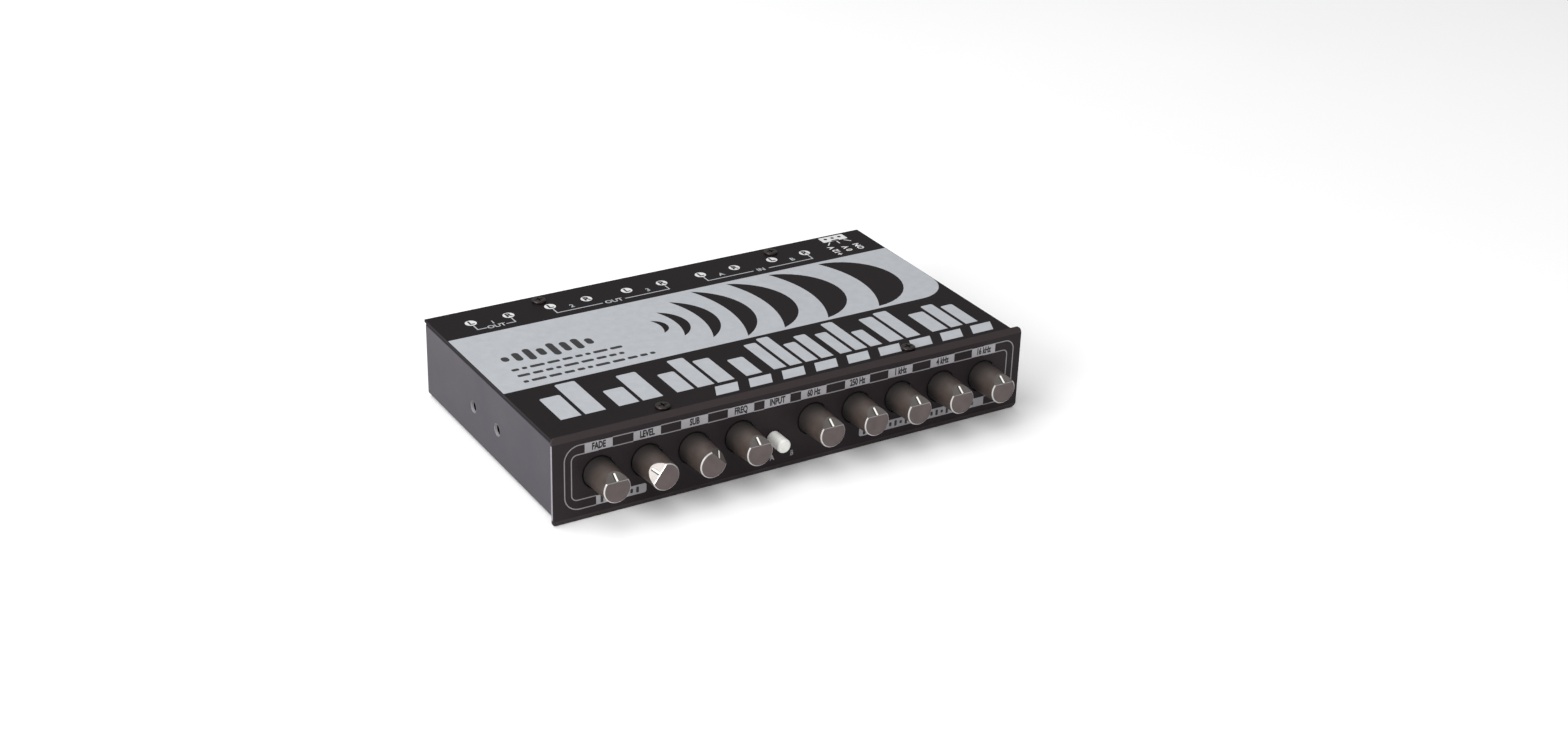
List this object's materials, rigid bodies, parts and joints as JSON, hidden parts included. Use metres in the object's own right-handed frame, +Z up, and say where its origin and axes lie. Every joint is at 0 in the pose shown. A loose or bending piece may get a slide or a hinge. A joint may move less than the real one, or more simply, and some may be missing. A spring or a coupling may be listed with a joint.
{
  "type": "graphic equalizer",
  "caption": "Slim half-height car audio graphic equalizer in a folded metal case, with a row of rotary knobs and a push button in front and phono jacks and a power socket behind.",
  "frame": {"origin": "centre of the bounding box's bottom face, at the front panel's lower edge", "axes": "+X to the right of someone facing the front, +Y from the front to the back, +Z up"},
  "size_m": [0.178, 0.1244, 0.031],
  "materials": {
    "case_paint": "satin black paint with a very faint grain",
    "panel_paint": "satin black paint with light grey print",
    "zinc_plate": "zinc plated, dull",
    "black_screw": "black oxide, semi-gloss",
    "rivet_metal": "satin",
    "nickel": "nickel plated, semi-bright",
    "button_plastic": "satin, moulded",
    "white_plastic": "satin",
    "red_plastic": "satin",
    "black_plastic": "matt",
    "knob_plastic": "satin, finely textured",
    "spring_steel": "drawn wire, bright",
    "board_green": "solder mask, semi-gloss",
    "brass": "plated, bright",
    "capacitor_sleeve": "shrink sleeve, glossy",
    "choke_wire": "enamelled wire, glossy",
    "pot_metal": "plated can, dull",
    "shaft_metal": "turned"
  },
  "bodies": {
    "case": {"chassis_tray": "case_paint", "rear_panel": "case_paint", "top_cover": "case_paint", "front_bracket": "zinc_plate", "front_panel": "panel_paint", "top_cover_screws": "black_screw", "case_rivets": "rivet_metal", "panel_studs": "zinc_plate", "panel_nuts": "nickel", "potentiometer_washers": "nickel", "potentiometer_nuts": "nickel", "switch_body": "black_plastic", "switch_spring": "spring_steel", "control_board": "board_green", "main_board": "board_green", "board_standoffs": "brass", "board_screws": "spring_steel", "header_pins": "brass", "header_body": "black_plastic", "jack_blocks": "black_plastic", "jack_shells": "nickel", "jack_insulators_left": "white_plastic", "jack_insulators_right": "red_plastic", "jack_contacts": "brass", "power_pins": "brass", "power_socket": "white_plastic", "amplifier_chips": "black_plastic", "capacitors": "capacitor_sleeve", "voltage_regulator": "black_plastic", "supply_choke": "choke_wire", "potentiometer_fader": "pot_metal", "potentiometer_volume": "pot_metal", "potentiometer_sub_level": "pot_metal", "potentiometer_sub_cutoff": "pot_metal", "potentiometer_band_1": "pot_metal", "potentiometer_band_2": "pot_metal", "potentiometer_band_3": "pot_metal", "potentiometer_band_4": "pot_metal", "potentiometer_band_5": "pot_metal"},
    "fader": {"knob_fader": "knob_plastic", "shaft_fader": "shaft_metal"},
    "volume": {"knob_volume": "knob_plastic", "shaft_volume": "shaft_metal"},
    "sub_level": {"knob_sub_level": "knob_plastic", "shaft_sub_level": "shaft_metal"},
    "sub_cutoff": {"knob_sub_cutoff": "knob_plastic", "shaft_sub_cutoff": "shaft_metal"},
    "band_1": {"knob_band_1": "knob_plastic", "shaft_band_1": "shaft_metal"},
    "band_2": {"knob_band_2": "knob_plastic", "shaft_band_2": "shaft_metal"},
    "band_3": {"knob_band_3": "knob_plastic", "shaft_band_3": "shaft_metal"},
    "band_4": {"knob_band_4": "knob_plastic", "shaft_band_4": "shaft_metal"},
    "band_5": {"knob_band_5": "knob_plastic", "shaft_band_5": "shaft_metal"},
    "source_button": {"source_button": "button_plastic", "switch_plunger": "white_plastic"}
  },
  "joints": [
    {"name": "fader_turn", "type": "hinge", "parent": "case", "child": "fader", "pos_m": [-0.073, -0.05445, 0.0159], "axis": [0, 1, 0], "range_deg": [-150, 150]},
    {"name": "volume_turn", "type": "hinge", "parent": "case", "child": "volume", "pos_m": [-0.056, -0.05445, 0.0159], "axis": [0, 1, 0], "range_deg": [-96, 204]},
    {"name": "sub_level_turn", "type": "hinge", "parent": "case", "child": "sub_level", "pos_m": [-0.039, -0.05445, 0.0159], "axis": [0, 1, 0], "range_deg": [-195, 105]},
    {"name": "sub_cutoff_turn", "type": "hinge", "parent": "case", "child": "sub_cutoff", "pos_m": [-0.022, -0.05445, 0.0159], "axis": [0, 1, 0], "range_deg": [-150, 150]},
    {"name": "band_1_turn", "type": "hinge", "parent": "case", "child": "band_1", "pos_m": [0.0054, -0.05445, 0.0159], "axis": [0, 1, 0], "range_deg": [-150, 150]},
    {"name": "band_2_turn", "type": "hinge", "parent": "case", "child": "band_2", "pos_m": [0.0224, -0.05445, 0.0159], "axis": [0, 1, 0], "range_deg": [-150, 150]},
    {"name": "band_3_turn", "type": "hinge", "parent": "case", "child": "band_3", "pos_m": [0.0394, -0.05445, 0.0159], "axis": [0, 1, 0], "range_deg": [-150, 150]},
    {"name": "band_4_turn", "type": "hinge", "parent": "case", "child": "band_4", "pos_m": [0.0564, -0.05445, 0.0159], "axis": [0, 1, 0], "range_deg": [-150, 150]},
    {"name": "band_5_turn", "type": "hinge", "parent": "case", "child": "band_5", "pos_m": [0.0734, -0.05445, 0.0159], "axis": [0, 1, 0], "range_deg": [-150, 150]},
    {"name": "source_press", "type": "slide", "parent": "case", "child": "source_button", "axis": [0, 1, 0], "range_m": [0, 0.0018], "stiffness_N_per_m": 600, "springref_m": -0.002, "deforming": ["switch_spring"]}
  ]
}
